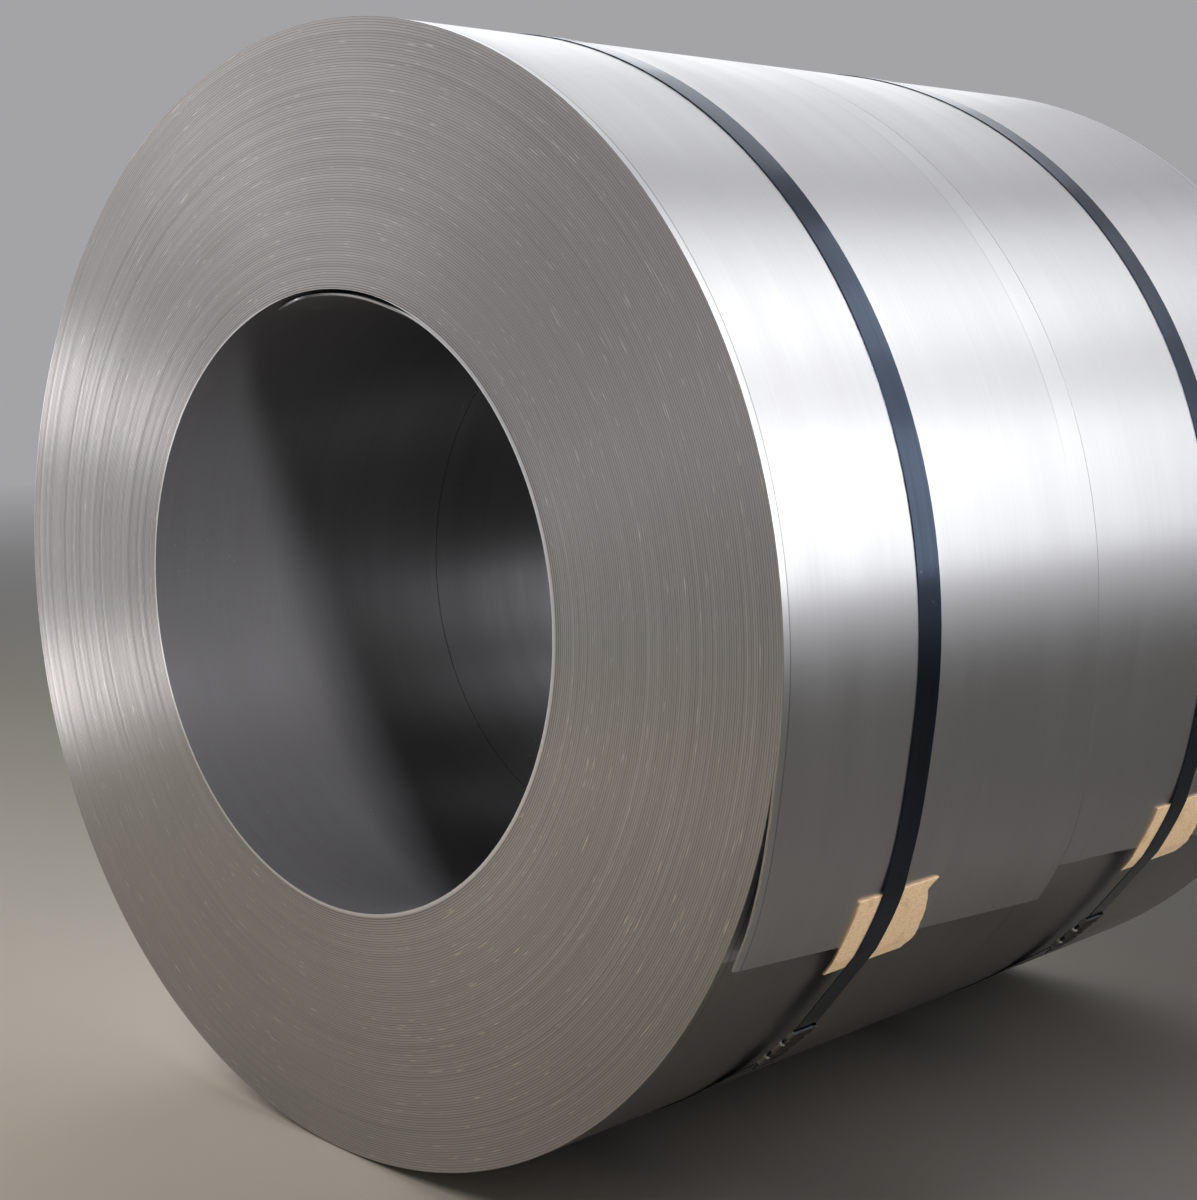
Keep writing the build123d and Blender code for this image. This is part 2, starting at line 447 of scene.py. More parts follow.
# Place on the winding: how many turns in from the outside, and how far round the turn.
place_on_winding, _, ends = new_group("place_on_winding", [], ["Turn", "Around", "Radius"])
tree = place_on_winding
_, axes = object_place(tree)
above = calc(tree, "SUBTRACT", axes[2], bore_axis_height)
ahead = calc(tree, "MULTIPLY", axes[1], -1.0)
squares = calc(tree, "ADD", calc(tree, "POWER", above, 2.0), calc(tree, "POWER", ahead, 2.0))
radius = calc(tree, "SQRT", squares)
around = calc(tree, "ARCTAN2", above, ahead)
past_tail = calc(tree, "SUBTRACT", around, radians(tail_end))
turn_share = calc(tree, "FRACT", calc(tree, "DIVIDE", past_tail, 2 * pi))
inwards = calc(tree, "DIVIDE", calc(tree, "SUBTRACT", coil_radius, radius), strip_thickness)
turn = calc(tree, "SUBTRACT", inwards, turn_share)
for socket, value in (("Turn", turn), ("Around", around), ("Radius", radius)):
    join(tree, value, ends, socket)

# Marks on the turns' edges: each turn has its own tone, some run in streaks, the gap is darker,
# and bright flecks along the turns are painted glints.
turn_marks, given, ends = new_group("turn_marks", ["Streaks"], ["Tone", "Gap", "Glint_fleck"])
tree = turn_marks
place = place_group(tree, place_on_winding)
round_x = calc(tree, "COSINE", place["Around"])
round_y = calc(tree, "SINE", place["Around"])


def along_turns(tree, across_scale, round_scale, detail=2.0):
    """Noise that is drawn out along the turns."""
    stretched = {
        0: calc(tree, "MULTIPLY", round_x, round_scale),
        1: calc(tree, "MULTIPLY", round_y, round_scale),
        2: calc(tree, "MULTIPLY", place["Turn"], across_scale),
    }
    point = node(tree, "ShaderNodeCombineXYZ", stretched).outputs[0]
    return noise(tree, point, 1.0, detail)


fine = spread(tree, along_turns(tree, 1.1, 1.6), *usual_noise)
broad = spread(tree, along_turns(tree, 0.16, 0.9), *usual_noise)
wedges = spread(tree, along_turns(tree, 0.012, 2.6, 1.0), *usual_noise)
tone = weighted_sum(tree, (fine, 0.5), (broad, 0.2), (wedges, 0.3))
tone = calc(tree, "MULTIPLY", calc(tree, "SUBTRACT", tone, 0.5), given.outputs["Streaks"])
join(tree, tone, ends, "Tone")
within = calc(tree, "FRACT", place["Turn"])
from_gap = calc(tree, "MINIMUM", within, calc(tree, "SUBTRACT", 1.0, within))
join(tree, spread(tree, from_gap, 0.04, 0.22, 1.0, 0.0), ends, "Gap")
# Painted glints: bright flecks drawn out along the turns.
glint_fleck = spread(tree, along_turns(tree, 2.3, 17.0, 1.0), 0.70, 0.78)
join(tree, glint_fleck, ends, "Glint_fleck")

# The strip's sheared edge: the gaps darken towards the bore, the turn round the lead end has a
# painted highlight on its rim, the lead end's tip has painted shade, and bright flecks painted as
# glints are golden low on the front.
gap_shade_radii = (0.308, 0.322)
flap_radii = (0.3042, 0.3047)
rim_highlight_radii = (0.3082, 0.3088)
flap_tip_angles = (radians(85), radians(96))
golden_angle, golden_cosines = radians(-48), (0.86, 0.96)

strip_edge, tree, shader = new_material("strip_edge")
marks = place_group(tree, turn_marks, Streaks=0.5)
place = place_group(tree, place_on_winding)
near_bore = spread(tree, place["Radius"], *gap_shade_radii, 1.0, 0.0)
on_flap = spread(tree, place["Radius"], *flap_radii, 1.0, 0.0)
rim = calc(tree, "SUBTRACT", spread(tree, place["Radius"], *rim_highlight_radii, 1.0, 0.0), on_flap)
painted_tip_shade = calc(tree, "MULTIPLY", on_flap, spread(tree, place["Around"], *flap_tip_angles))
tone = calc(tree, "ADD", 0.5, marks["Tone"])
colour = blend(tree, tone, (0.34, 0.32, 0.30, 1), (0.52, 0.50, 0.48, 1))
gap = calc(tree, "MULTIPLY", marks["Gap"], spread(tree, near_bore, 0.0, 1.0, 0.5, 0.9))
colour = blend(tree, gap, colour, (0.10, 0.095, 0.09, 1))
# Painted highlight: the rim of the turn round the lead end is lightened towards near white.
colour = blend(tree, calc(tree, "MULTIPLY", rim, 0.7), colour, (0.86, 0.85, 0.84, 1))
# Painted shade: the lead end's tip is darkened towards near black.
colour = blend(tree, painted_tip_shade, colour, (0.07, 0.07, 0.07, 1))
from_golden = calc(tree, "SUBTRACT", place["Around"], golden_angle)
low_front = spread(tree, calc(tree, "COSINE", from_golden), *golden_cosines)
golden_glint = blend(tree, low_front, (0.80, 0.77, 0.70, 1), (1.0, 0.90, 0.66, 1))
# Painted glints: the flecks are lightened towards pale grey, golden low on the front.
colour = blend(tree, calc(tree, "MULTIPLY", marks["Glint_fleck"], 0.8), colour, golden_glint)
join(tree, colour, shader, "Base Color")
join(tree, spread(tree, tone, 0.0, 1.0, 0.42, 0.30), shader, "Roughness")
shader.inputs["Metallic"].default_value = 1.0
sheen_along_strip(tree, shader, 0.7)

# Rolled surface of the strip: hair-fine marks along the strip, soft clouds and a few specks.
rolled_marks, _, ends = new_group("rolled_marks", [], ["Tone", "Speck"])
tree = rolled_marks
place = place_group(tree, place_on_winding)
where, axes = object_place(tree)


def along_strip(tree, width_scale, round_scale):
    """Noise that is drawn out along the strip, over the coil's width."""
    stretched = {
        0: calc(tree, "MULTIPLY", axes[0], width_scale),
        1: calc(tree, "MULTIPLY", calc(tree, "COSINE", place["Around"]), round_scale),
        2: calc(tree, "MULTIPLY", calc(tree, "SINE", place["Around"]), round_scale),
    }
    point = node(tree, "ShaderNodeCombineXYZ", stretched).outputs[0]
    return noise(tree, point, 1.0, 3.0)


hairs = spread(tree, along_strip(tree, 900.0, 3.0), 0.35, 0.65)
bands = spread(tree, along_strip(tree, 26.0, 0.8), *usual_noise)
clouds = noise(tree, where, 5.0, 3.0)
tone = weighted_sum(tree, (hairs, 0.3), (bands, 0.4), (clouds, 0.3))
join(tree, tone, ends, "Tone")
dots = node(tree, "ShaderNodeTexVoronoi", {"Vector": where, "Scale": 95.0})
speck = spread(tree, dots.outputs["Distance"], 0.05, 0.09, 1.0, 0.0)
sparse = spread(tree, noise(tree, where, 9.0), 0.58, 0.68)
join(tree, calc(tree, "MULTIPLY", speck, sparse), ends, "Speck")

# Marks of the rolls on the barrel: a hair-fine dark line just inside each edge with a brighter
# band beyond it, and a faint second line beside the middle one at the coil's shoulder; between
# that second line and the middle one, the shoulder has a painted highlight.
edge_band, edge_band_fade = 0.0085, 0.0004
middle_line_place, second_line_place, line_fade = line_bends[-1][1], 0.436, 0.001
hairline_half, hairline_core = 0.0009, 0.4
shoulder_start = (radians(14), radians(20))
shoulder_end = (radians(52), radians(68))

roll_lines_and_painted_light, _, ends = new_group("roll_lines_and_painted_light", [], ["Bright", "Dark", "Shade_below_tail"])
tree = roll_lines_and_painted_light
_, axes = object_place(tree)
place = place_group(tree, place_on_winding)
from_edge = calc(tree, "SUBTRACT", coil_width / 2, calc(tree, "ABSOLUTE", axes[0]))
from_near = calc(tree, "SUBTRACT", axes[0], near_end)


def hairline(tree, value, at):
    """1 on a fine line at a value, 0 beyond half its width."""
    off = calc(tree, "ABSOLUTE", calc(tree, "SUBTRACT", value, at))
    return spread(tree, off, hairline_core * hairline_half, hairline_half, 1.0, 0.0)


band = spread(tree, from_edge, edge_band - edge_band_fade, edge_band, 1.0, 0.0)
dark = hairline(tree, from_edge, edge_band + edge_band_fade)
second = hairline(tree, from_near, second_line_place)
past_second = spread(tree, from_near, second_line_place, second_line_place + line_fade)
before_middle = spread(
    tree, from_near, middle_line_place - line_fade, middle_line_place, 1.0, 0.0
)
shoulder = calc(
    tree,
    "MULTIPLY",
    spread(tree, place["Around"], *shoulder_start),
    spread(tree, place["Around"], *shoulder_end, 1.0, 0.0),
)
# Painted highlight: on the shoulder, the strip between the second and middle lines is lightened.
shoulder_highlight = calc(tree, "MULTIPLY", shoulder, calc(tree, "MULTIPLY", past_second, before_middle))
bright = calc(tree, "MAXIMUM", band, calc(tree, "MULTIPLY", shoulder_highlight, 0.4))
join(tree, bright, ends, "Bright")
second = calc(tree, "MULTIPLY", calc(tree, "MULTIPLY", second, shoulder), 0.5)
join(tree, calc(tree, "MAXIMUM", dark, second), ends, "Dark")

# Painted shade: the turn below the tail is darker, from the tail's cut edge down to the coil's
# foot.
tail_step = (tail_line_place - 0.0002, tail_line_place + 0.0002)
cut_fade = (-0.004, -0.001)
foot_fade = (radians(-125), radians(-85))
setback = calc(tree, "MULTIPLY", spread(tree, from_near, *tail_step), far_tail_setback)
drop = calc(tree, "SUBTRACT", calc(tree, "MULTIPLY", from_near, tail_cut_slope), setback)
past_tail_angle = calc(tree, "ADD", place["Around"], radians(tail_angle))
past_cut = calc(tree, "ADD", past_tail_angle, calc(tree, "DIVIDE", drop, coil_radius))
# Painted shade under the tail's cut edge, fading out towards the coil's foot.
below = spread(tree, past_cut, *cut_fade, 1.0, 0.0)
below = calc(tree, "MULTIPLY", below, spread(tree, place["Around"], *foot_fade))
join(tree, below, ends, "Shade_below_tail")


def rolled_steel(name, tones, roughnesses, metallic=1.0, lines=None, bore_shade_places=None):
    """The strip's rolled surface, which is painted darker inside the bore than on the barrel, as
    shade.
    """
    material, tree, shader = new_material(name)
    marks = place_group(tree, rolled_marks)
    colour = blend(tree, marks["Tone"], *tones)
    if bore_shade_places:
        _, axes = object_place(tree)
        start, full = (near_end + place for place in bore_shade_places)
        # Painted shade: the bore darkens towards near black deeper in from the near end face.
        depth_shade = spread(tree, axes[0], start, full, 0.0, 0.62)
        colour = blend(tree, depth_shade, colour, (0.04, 0.04, 0.04, 1))
    speck = calc(tree, "MULTIPLY", marks["Speck"], 0.5)
    colour = blend(tree, speck, colour, (0.9, 0.9, 0.88, 1))
    if lines:
        lines_and_painted_light = place_group(tree, lines)
        for mark, strength, tint in (
            # Bright band at each edge, and the painted highlight on the shoulder.
            ("Bright", 0.35, (0.95, 0.95, 0.96, 1)),
            ("Dark", 0.6, (0.16, 0.15, 0.15, 1)),
            # Painted shade below the tail, darkened towards dark brown.
            ("Shade_below_tail", 0.5, (0.20, 0.18, 0.14, 1)),
        ):
            colour = blend(tree, calc(tree, "MULTIPLY", lines_and_painted_light[mark], strength), colour, tint)
    join(tree, colour, shader, "Base Color")
    join(tree, spread(tree, marks["Tone"], 0.2, 0.8, *roughnesses), shader, "Roughness")
    shader.inputs["Metallic"].default_value = metallic
    sheen_along_strip(tree, shader, 0.5)
    return material


barrel_tones = ((0.68, 0.67, 0.68, 1), (0.78, 0.78, 0.79, 1))
# Painted shade: the bore's copy of the rolled steel has much darker tones than the barrel's.
shaded_bore_tones = ((0.31, 0.30, 0.31, 1), (0.38, 0.38, 0.39, 1))
barrel_steel = rolled_steel("barrel_steel", barrel_tones, (0.34, 0.28), lines=roll_lines_and_painted_light)
shaded_bore_steel = rolled_steel("shaded_bore_steel", shaded_bore_tones, (0.36, 0.30), 0.7, bore_shade_places=(0.15, 0.45))
for surface in (barrel_steel, strip_edge, shaded_bore_steel):
    wound_coil.data.materials.append(surface)

# The straps: two flat steel bands 32 mm wide, blued and waxed, drawn tight round the barrel over
# a piece of board at the tail. Each band's ends lie on each other in its seal, a little off the
# coil, because the tail holds the band away there.
strap_width = 0.032
strap_thickness = 0.0009
strap_places = {"near": 0.197, "far": 0.702}
strap_edge_round = 0.0003
seat_clearance = 0.00019

lap_inside_mouth = 0.002
lap_below_seal = 0.012
lap_spring, lap_level_share = 0.0006, 0.7

seal_length = 0.057
seal_angle = -42.5
seal_tilt = 2.5
seal_standoff = 0.009

pad_thickness = 0.0018
pad_width = 0.124
pad_above = 0.066

board_stations, settled_stations, round_stations = 12, 14, 150
seal_stations, lap_stations = 14, 20


def crest_angle(place):
    """Angle at which board and band turn over the tail's edge, clear of its skew cut."""
    return -tail_angle - arc_angle(tail_drop(place)) - arc_angle(tail_cut_slope * pad_width)


def flat_spot(radius, angle):
    """Point in the plane across the bore's axis."""
    turn = radians(angle)
    return np.array([-radius * cos(turn), bore_axis_height + radius * sin(turn)])


bore_axis = flat_spot(0, 0)
seal_out = flat_spot(1, seal_angle - seal_tilt) - bore_axis
seal_up = np.array([seal_out[1], -seal_out[0]])
if seal_up[1] < 0:
    seal_up = -seal_up
seal_middle = flat_spot(wrap_radius(full_turn + seal_angle) + seal_standoff, seal_angle)


def in_seal(along, out):
    """Point on the seal's plane, along the band upwards and out from its inner face."""
    return seal_middle + along * seal_up + out * seal_out


def band_line(place):
    """Middle line of the band: over the board, down the tail, round the coil and into the seal."""
    middle = strap_thickness / 2
    edge = crest_angle(place)
    pad_top = edge + arc_angle(pad_above)
    settled = pad_top + arc_angle(strap_width)
    over_pad = 2 * seat_clearance + pad_thickness + middle
    on_coil = seat_clearance + middle
    lower = in_seal(-seal_length / 2, middle)
    lower_radius = np.linalg.norm(lower - bore_axis)
    lower_angle = seal_angle - degrees(seal_length / 2 / lower_radius)
    down = full_turn + lower_angle
    touch = down - degrees(acos((wrap_radius(down) + on_coil) / lower_radius))
    stretches = (
        (over_pad, np.linspace(edge, pad_top, board_stations)),
        (on_coil, np.linspace(settled, lift_start, settled_stations)),
        (on_coil, np.linspace(lift_start, touch, round_stations)[1:]),
    )
    line = [flat_spot(wrap_radius(a) + off, a) for off, angles in stretches for a in angles]
    in_sleeve = np.linspace(-seal_length / 2, seal_length / 2, seal_stations)
    return np.array(line + [in_seal(along, middle) for along in in_sleeve])


def away_from_axis(line, closed=False):
    """Unit arrows square to a line in the plane across the axis, pointing away from the axis."""
    ahead = np.roll(line, -1, 0) - np.roll(line, 1, 0) if closed else np.gradient(line, axis=0)
    ahead /= np.linalg.norm(ahead, axis=1)[:, None]
    out = np.column_stack([ahead[:, 1], -ahead[:, 0]])
    return out * np.where(((line - bore_axis) * out).sum(1) < 0, -1, 1)[:, None]


def sweep_band(line, x, points, faces, closed=True):
    """Flat band along a line across the axis, with its long edges rounded."""
    count = len(line)
    half, deep, soft = strap_width / 2, strap_thickness / 2, strap_edge_round
    section = [(-half + soft, deep), (half - soft, deep), (half, deep - soft)]
    section += [(half, -deep + soft), (half - soft, -deep), (-half + soft, -deep)]
    section += [(-half, -deep + soft), (-half, deep - soft)]
    first = len(points)
    for middle, outwards in zip(line, away_from_axis(line, closed)):
        for across, off in section:
            y, z = middle + off * outwards
            points.append((x + across, y, z))
    sides = len(section)
    for i in range(count if closed else count - 1):
        here, there = first + i * sides, first + (i + 1) % count * sides
        for k in range(sides):
            m = (k + 1) % sides
            faces.append((here + k, here + m, there + m, there + k))
    if not closed:
        faces.append(tuple(first + k for k in range(sides))[::-1])
        faces.append(tuple(first + (count - 1) * sides + k for k in range(sides)))


def make_band(side, place):
    """One band with its lapped end."""
    points, faces = [], []
    x = near_end + place
    sweep_band(band_line(place), x, points, faces)
    outer = 1.5 * strap_thickness
    above = seal_length / 2 - lap_inside_mouth
    below = seal_length / 2 + lap_below_seal
    lap = []
    for along in np.linspace(-below, above, lap_stations):
        sprung = lap_spring * max(0, abs(along) / above - lap_level_share)
        lap.append(in_seal(along, outer + sprung))
    sweep_band(np.array(lap), x, points, faces, closed=False)
    return make_piece(f"band_{side}", points, faces, f"strap_{side}")


bands = {side: make_band(side, place) for side, place in strap_places.items()}

blued_steel, tree, shader = new_material("blued_steel")
marks = place_group(tree, rolled_marks)
colour = blend(tree, marks["Tone"], (0.030, 0.042, 0.062, 1), (0.075, 0.098, 0.150, 1))
rubbed = calc(tree, "MULTIPLY", marks["Speck"], 0.8)
colour = blend(tree, rubbed, colour, (0.55, 0.58, 0.62, 1))
join(tree, colour, shader, "Base Color")
join(tree, spread(tree, marks["Tone"], 0.2, 0.8, 0.22, 0.12), shader, "Roughness")
shader.inputs["Metallic"].default_value = 1.0
for band in bands.values():
    band.data.materials.append(blued_steel)

# The boards: a piece of kraft fibreboard under each band, folded over the cut edge of the tail to
# keep the band off it, and set a little further from the near end face than the band. The side
# away from that face is torn, and shows the board's layers.
pad_below = 0.015
pad_offsets = {"near": 0.015, "far": 0.021}
torn_bite, torn_overrun = 0.018, 0.001
torn_edge = [(0.0, 0.3), (0.12, 1.0), (0.35, 0.4), (0.6, 0.1), (0.85, 0.0), (1.0, 0.5)]
torn_roughness = 0.0007
layer_step = 0.0006
board_rows, board_columns = 44, 24


def make_board(side, place):
    """Folded board as a thin closed sheet, its torn side ragged."""
    edge = crest_angle(place)
    top = edge + arc_angle(pad_above)
    crest = flat_spot(wrap_radius(edge) + seat_clearance, edge)
    mouth = in_seal(seal_length / 2, 0)
    down = mouth - flat_spot(wrap_radius(edge) + seat_clearance + pad_thickness, edge)
    down /= np.linalg.norm(down)
    upper = int(board_rows * pad_above / (pad_above + pad_below))
    inner = [flat_spot(wrap_radius(a) + seat_clearance, a) for a in np.linspace(top, edge, upper)]
    inner += [crest + down * s for s in np.linspace(0, pad_below, board_rows - upper + 1)[1:]]
    inner = np.array(inner)
    out = away_from_axis(inner)

    left = near_end + place + pad_offsets[side] - pad_width / 2
    tear = np.interp(np.linspace(0, 1, board_rows), *zip(*torn_edge)) * torn_bite
    tear_draws = np.random.default_rng(7 + int(place * 1000))
    ragged = tear + torn_roughness * tear_draws.standard_normal(board_rows)
    ragged = np.clip(ragged, 0, torn_bite + torn_overrun)
    points, faces = [], []
    for layer, off in ((0, 0.0), (1, pad_thickness)):
        for i in range(board_rows):
            width = pad_width - ragged[i] - layer * layer_step * (1 + tear_draws.random())
            y, z = inner[i] + out[i] * off
            for j in range(board_columns):
                share = j / (board_columns - 1)
                points.append((left + share * width, y, z))

    def at(layer, i, j):
        """Number of a layer's point in this row and column."""
        return (layer * board_rows + i) * board_columns + j

    for i in range(board_rows - 1):
        for j in range(board_columns - 1):
            faces.append((at(1, i, j), at(1, i + 1, j), at(1, i + 1, j + 1), at(1, i, j + 1)))
            faces.append((at(0, i, j + 1), at(0, i + 1, j + 1), at(0, i + 1, j), at(0, i, j)))
        for j, turned in ((0, True), (board_columns - 1, False)):
            quad = (at(0, i, j), at(1, i, j), at(1, i + 1, j), at(0, i + 1, j))
            faces.append(quad if turned else quad[::-1])
    for j in range(board_columns - 1):
        for i, turned in ((0, False), (board_rows - 1, True)):
            quad = (at(0, i, j), at(1, i, j), at(1, i, j + 1), at(0, i, j + 1))
            faces.append(quad if turned else quad[::-1])
    return make_piece(f"board_{side}", points, faces, f"pad_{side}")


boards = {side: make_board(side, place) for side, place in strap_places.items()}

kraft, tree, shader = new_material("kraft_board")
where = node(tree, "ShaderNodeTexCoord").outputs["Object"]
stretch = node(tree, "ShaderNodeMapping", {"Vector": where, "Scale": (260.0, 900.0, 900.0)})
fibres = noise(tree, stretch.outputs[0], 1.0, 4.0)
stains = spread(tree, noise(tree, where, 38.0, 4.0), 0.58, 0.75, 0.0, 0.5)
fibre_tone = spread(tree, fibres, *usual_noise)
colour = blend(tree, fibre_tone, (0.64, 0.43, 0.24, 1), (0.86, 0.64, 0.41, 1))
colour = blend(tree, stains, colour, (0.46, 0.29, 0.16, 1))
join(tree, colour, shader, "Base Color")
shader.inputs["Roughness"].default_value = 0.85
raised = node(tree, "ShaderNodeBump", {"Height": fibres, "Strength": 0.4, "Distance": 0.0004})
join(tree, raised.outputs[0], shader, "Normal")
for board in boards.values():
    board.data.materials.append(kraft)

# The seals: a sleeve of bare sheet steel folded round both ends of a band, and nicked twice on
# each long edge with a crimping tool. The nicks' burrs stand out, bright where the metal tore.
seal_sheet = 0.0012
seal_clearance = 0.0003
seal_half_seam = 0.0015
crimp_pitch = 0.024
crimp_depth = 0.0035
crimp_width, crimp_flat = 0.007, 1.6
burr_off, burr_reach = 0.0006, 0.0016
burr_spread, burr_height, burr_underneath = 0.0006, 0.0013, -0.3
rim_start, rim_run = 0.80, 0.20
seal_rows = 72


def make_clip(side, place):
    """Sleeve with nicked edges, swept along the band as a closed C."""
    half = strap_width / 2 + seal_clearance
    low = -seal_clearance
    high = 2 * strap_thickness + seal_clearance
    seam = seal_half_seam
    mid = seal_sheet / 2
    centre = [(-seam, low - mid), (-half, low - mid), (-half - mid, low), (-half - mid, high)]
    centre += [(-half, high + mid), (-half / 2, high + mid), (0, high + mid)]
    centre += [(half / 2, high + mid), (half, high + mid), (half + mid, high)]
    centre += [(half + mid, low), (half, low - mid), (seam, low - mid)]
    centre = np.array(centre)
    ahead = np.gradient(centre, axis=0)
    ahead /= np.linalg.norm(ahead, axis=1)[:, None]
    normal = np.column_stack([-ahead[:, 1], ahead[:, 0]])
    points, faces = [], []
    x = near_end + place
    sides = len(centre) * 2
    for along in np.linspace(-seal_length / 2, seal_length / 2, seal_rows):
        from_nicks = [abs(along - at) for at in (-crimp_pitch / 2, crimp_pitch / 2)]
        nick = max(np.clip(crimp_flat - off / (crimp_width / 2), 0, 1) for off in from_nicks)
        from_burrs = [abs(off - crimp_width / 2 - burr_off) for off in from_nicks]
        burr = max(np.clip(1 - off / burr_reach, 0, 1) for off in from_burrs)
        ring = []
        for (a, b), (na, nb) in zip(centre, normal):
            rim = np.clip((abs(a) - half * rim_start) / (half * rim_run), 0, 1)
            outwards = np.sign(a) * rim
            a_moved = a - outwards * nick * crimp_depth + outwards * burr * burr_spread
            b_moved = b + rim * burr * burr_height * (1 if b > 0 else burr_underneath)
            ring.append((a_moved, b_moved, na, nb))
        for sign, ordered in ((1, ring), (-1, ring[::-1])):
            for a, b, na, nb in ordered:
                y, z = in_seal(along, b + sign * nb * mid)
                points.append((x + a + sign * na * mid, y, z))
    for i in range(seal_rows - 1):
        here, there = i * sides, (i + 1) * sides
        for k in range(sides):
            m = (k + 1) % sides
            faces.append((here + k, here + m, there + m, there + k))
    last = (seal_rows - 1) * sides
    for k in range(len(centre) - 1):
        quad = (k, k + 1, sides - 2 - k, sides - 1 - k)
        faces.append(quad[::-1])
        faces.append(tuple(last + n for n in quad))
    return make_piece(f"clip_{side}", points, faces, f"seal_{side}")


clips = {side: make_clip(side, place) for side, place in strap_places.items()}

clip_steel, tree, shader = new_material("clip_steel")
where = node(tree, "ShaderNodeTexCoord").outputs["Object"]
worn = noise(tree, where, 160.0, 3.0)
surface = node(tree, "ShaderNodeNewGeometry").outputs
torn = spread(tree, surface["Pointiness"], 0.53, 0.60)
worn_tone = spread(tree, worn, 0.35, 0.65)
colour = blend(tree, worn_tone, (0.05, 0.047, 0.038, 1), (0.13, 0.12, 0.10, 1))
colour = blend(tree, torn, colour, (0.60, 0.58, 0.52, 1))

# The sleeve's cut ends, which face along the band, lie in the shade of its open mouth.
directions = {0: surface["Normal"], 1: (0.0, seal_up[0], seal_up[1])}
along_band = node(tree, "ShaderNodeVectorMath", directions, operation="DOT_PRODUCT")
at_mouth = calc(tree, "ABSOLUTE", along_band.outputs["Value"])
at_mouth = spread(tree, at_mouth, 0.8, 0.95, 0.0, 0.9)
colour = blend(tree, at_mouth, colour, (0.035, 0.032, 0.026, 1))
join(tree, colour, shader, "Base Color")
join(tree, spread(tree, worn, *usual_noise, 0.60, 0.42), shader, "Roughness")
shader.inputs["Metallic"].default_value = 0.8
for clip in clips.values():
    clip.data.materials.append(clip_steel)

# The floor and the room: a plain pale floor, a pale room round it, and soft panels of light over
# and beside the coil. Most panels light the goods alone, so that the floor keeps the coil's own
# soft shadow, and a few of them light only the coil, the boards or the floor.
floor_half, floor_drop = 30.0, 0.0003
pale_room = (0.37, 0.37, 0.385, 1)


def seen_directly(tree):
    """1 for rays from the camera and for what metal and glass show, 0 for the light itself."""
    rays = node(tree, "ShaderNodeLightPath").outputs
    mirrored = calc(tree, "MAXIMUM", rays["Is Glossy Ray"], rays["Is Transmission Ray"])
    return calc(tree, "MAXIMUM", rays["Is Camera Ray"], mirrored)


floor_mesh = bpy.data.meshes.new("floor")
corners = [(-1, -1), (1, -1), (1, 1), (-1, 1)]
corners = [(x * floor_half, y * floor_half, -floor_drop) for x, y in corners]
floor_mesh.from_pydata(corners, [], [(0, 1, 2, 3)])
floor = bpy.data.objects.new("floor", floor_mesh)
bpy.context.scene.collection.objects.link(floor)
floor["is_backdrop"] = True
floor_paint, tree, shader = new_material("floor_paint")
shader.inputs["Base Color"].default_value = (0.74, 0.70, 0.63, 1)
shader.inputs["Roughness"].default_value = 0.9
seen = seen_directly(tree)
where = node(tree, "ShaderNodeTexCoord").outputs["Object"]
away = node(tree, "ShaderNodeVectorMath", {0: where}, operation="LENGTH")
fade = calc(tree, "MULTIPLY", seen, spread(tree, away.outputs["Value"], 2.5, 8.0))
haze = node(tree, "ShaderNodeEmission", {"Color": pale_room, "Strength": 1.0})
mixed = node(tree, "ShaderNodeMixShader", {0: fade, 1: shader.outputs[0], 2: haze.outputs[0]})
tree.links.new(mixed.outputs[0], tree.nodes["Material Output"].inputs[0])
floor_mesh.materials.append(floor_paint)

room = bpy.data.worlds.new("room")
bpy.context.scene.world = room
room.use_nodes = True
tree = room.node_tree
tree.nodes.clear()
pale = node(tree, "ShaderNodeBackground", {"Color": pale_room, "Strength": 1.0})
dim = node(tree, "ShaderNodeBackground", {"Color": (0.035, 0.035, 0.035, 1), "Strength": 1.0})
seen = seen_directly(tree)
choice = node(tree, "ShaderNodeMixShader", {0: seen, 1: dim.outputs[0], 2: pale.outputs[0]})
node(tree, "ShaderNodeOutputWorld", {0: choice.outputs[0]})


def lit_group(name, members):
    """Collection of things that a panel's light is kept to."""
    group = bpy.data.collections.new(name)
    bpy.context.scene.collection.children.link(group)
    for member in members:
        group.objects.link(member)
    return group


goods = lit_group("goods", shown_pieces())
coil_only = lit_group("coil_only", [wound_coil])
boards_only = lit_group("boards_only", boards.values())
floor_only = lit_group("floor_only", [floor])


def light_panel(name, place, towards, size, radiance, colour, receivers=None):
    """Soft panel of light that the camera doesn't see."""
    lamp = bpy.data.lights.new(name, "AREA")
    lamp.shape = "RECTANGLE"
    lamp.size, lamp.size_y = size
    lamp.color = colour
    lamp.energy = radiance * 4 * size[0] * size[1]
    panel = bpy.data.objects.new(name, lamp)
    bpy.context.scene.collection.objects.link(panel)
    panel.location = place
    aim = Vector(towards) - Vector(place)
    panel.rotation_euler = aim.to_track_quat("-Z", "Y").to_euler()
    panel.visible_camera = False
    if receivers:
        panel.light_linking.receiver_collection = receivers


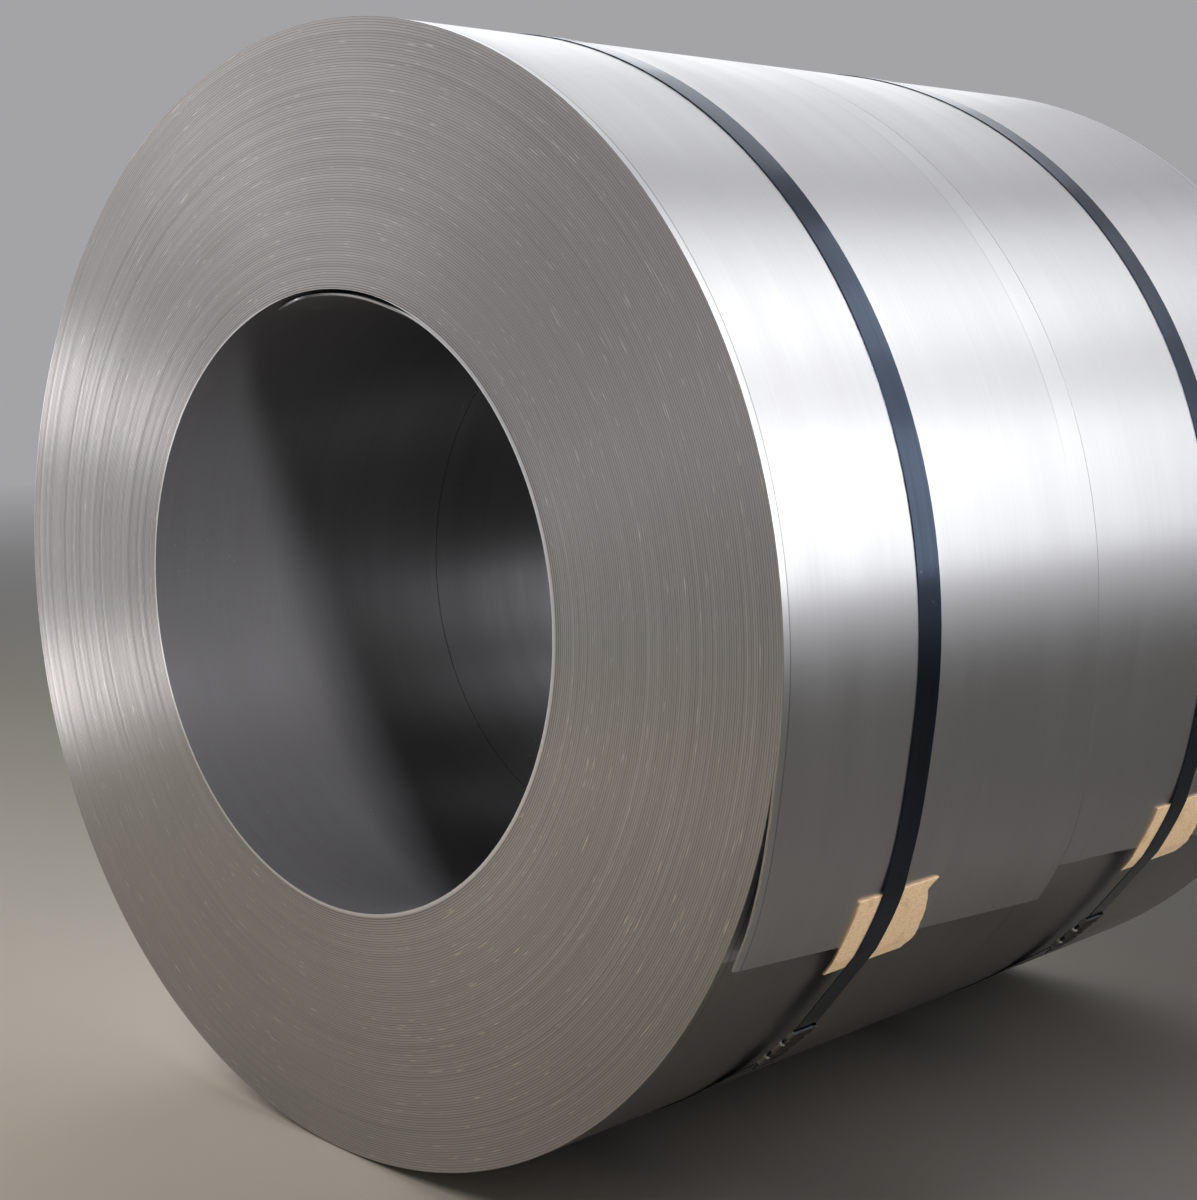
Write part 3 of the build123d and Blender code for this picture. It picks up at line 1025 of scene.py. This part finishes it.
# A canopy of long panels arches over the coil: each by the angles at which it starts and ends,
# upwards from the level line towards -Y, its radiance and what it lights.
canopy_reach = 3.3
canopy_start, canopy_length = -0.5, 5.6
canopy_colour = (0.96, 0.98, 1.0)
canopy = [
    (2, 16, 1.02, goods),
    (16, 32, 1.15, goods),
    (32, 47, 0.58, goods),
    (47, 62, 1.02, goods),
    (62, 77, 0.56, goods),
    (92, 110, 0.38, goods),
    (110, 130, 0.42, goods),
    (130, 152, 0.90, None),
    (156, 186, 1.80, goods),
]
for low, high, radiance, receivers in canopy:
    middle = radians((low + high) / 2)
    x = canopy_start + canopy_length / 2
    place = (x, -canopy_reach * cos(middle), bore_axis_height + canopy_reach * sin(middle))
    size = (canopy_length, canopy_reach * radians(high - low))
    aim = (x, 0, bore_axis_height)
    light_panel(f"canopy_{low}", place, aim, size, radiance, canopy_colour, receivers)

# Panels beside the coil: each one's name, place and aim, then its size, radiance, colour and
# what it lights.
side_colour, upper_colour, floor_colour = (0.97, 0.95, 1.0), (0.97, 0.97, 1.0), (1.0, 0.955, 0.88)
bore_colour, board_colour = (0.98, 0.96, 1.0), (1.0, 0.98, 0.95)
side_panels = [
    ("left_high", (-0.65, 1.9, 0.74), (-0.5, 0.4, 0.70), (1.3, 0.20), 5.0, side_colour, goods),
    ("left_middle", (-0.65, 1.9, 0.41), (-0.5, 0.4, 0.50), (1.3, 0.40), 1.2, side_colour, goods),
    ("left_low", (-0.65, 1.9, 0.11), (-0.5, 0.4, 0.35), (1.3, 0.18), 5.0, side_colour, goods),
    ("left_upper", (-1.5, 2.0, 1.35), (-0.5, 0.2, 0.7), (1.5, 0.9), 0.65, upper_colour, goods),
    ("floor_light", (-1.9, 1.1, 1.9), (-1.9, 1.101, 0), (1.6, 1.8), 2.4, floor_colour, floor_only),
    ("bore_light", (-1.55, -2.6, 2.2), (-0.4, 0.28, 0.45), (0.4, 0.4), 160, bore_colour, coil_only),
    ("board_light", (0.2, -3.0, 0.5), (0.0, -0.5, 0.3), (2.0, 0.6), 7.4, board_colour, boards_only),
]
for panel in side_panels:
    light_panel(*panel)

# The camera stands low in front of the near end face, a little to the barrel's side.
eye = Vector((-1.7337, -1.5327, 0.8475))
heading, pitch = 0.8199, -0.1429
camera_data = bpy.data.cameras.new("camera")
camera_data.sensor_width = 36.0
camera_data.lens = 60.59
camera_data.shift_x = 0.1
camera = bpy.data.objects.new("camera", camera_data)
bpy.context.scene.collection.objects.link(camera)
camera.location = eye
look = Vector((cos(pitch) * cos(heading), cos(pitch) * sin(heading), sin(pitch)))
camera.rotation_euler = look.to_track_quat("-Z", "Y").to_euler()
bpy.context.scene.camera = camera
bpy.context.scene.view_settings.view_transform = "Standard"
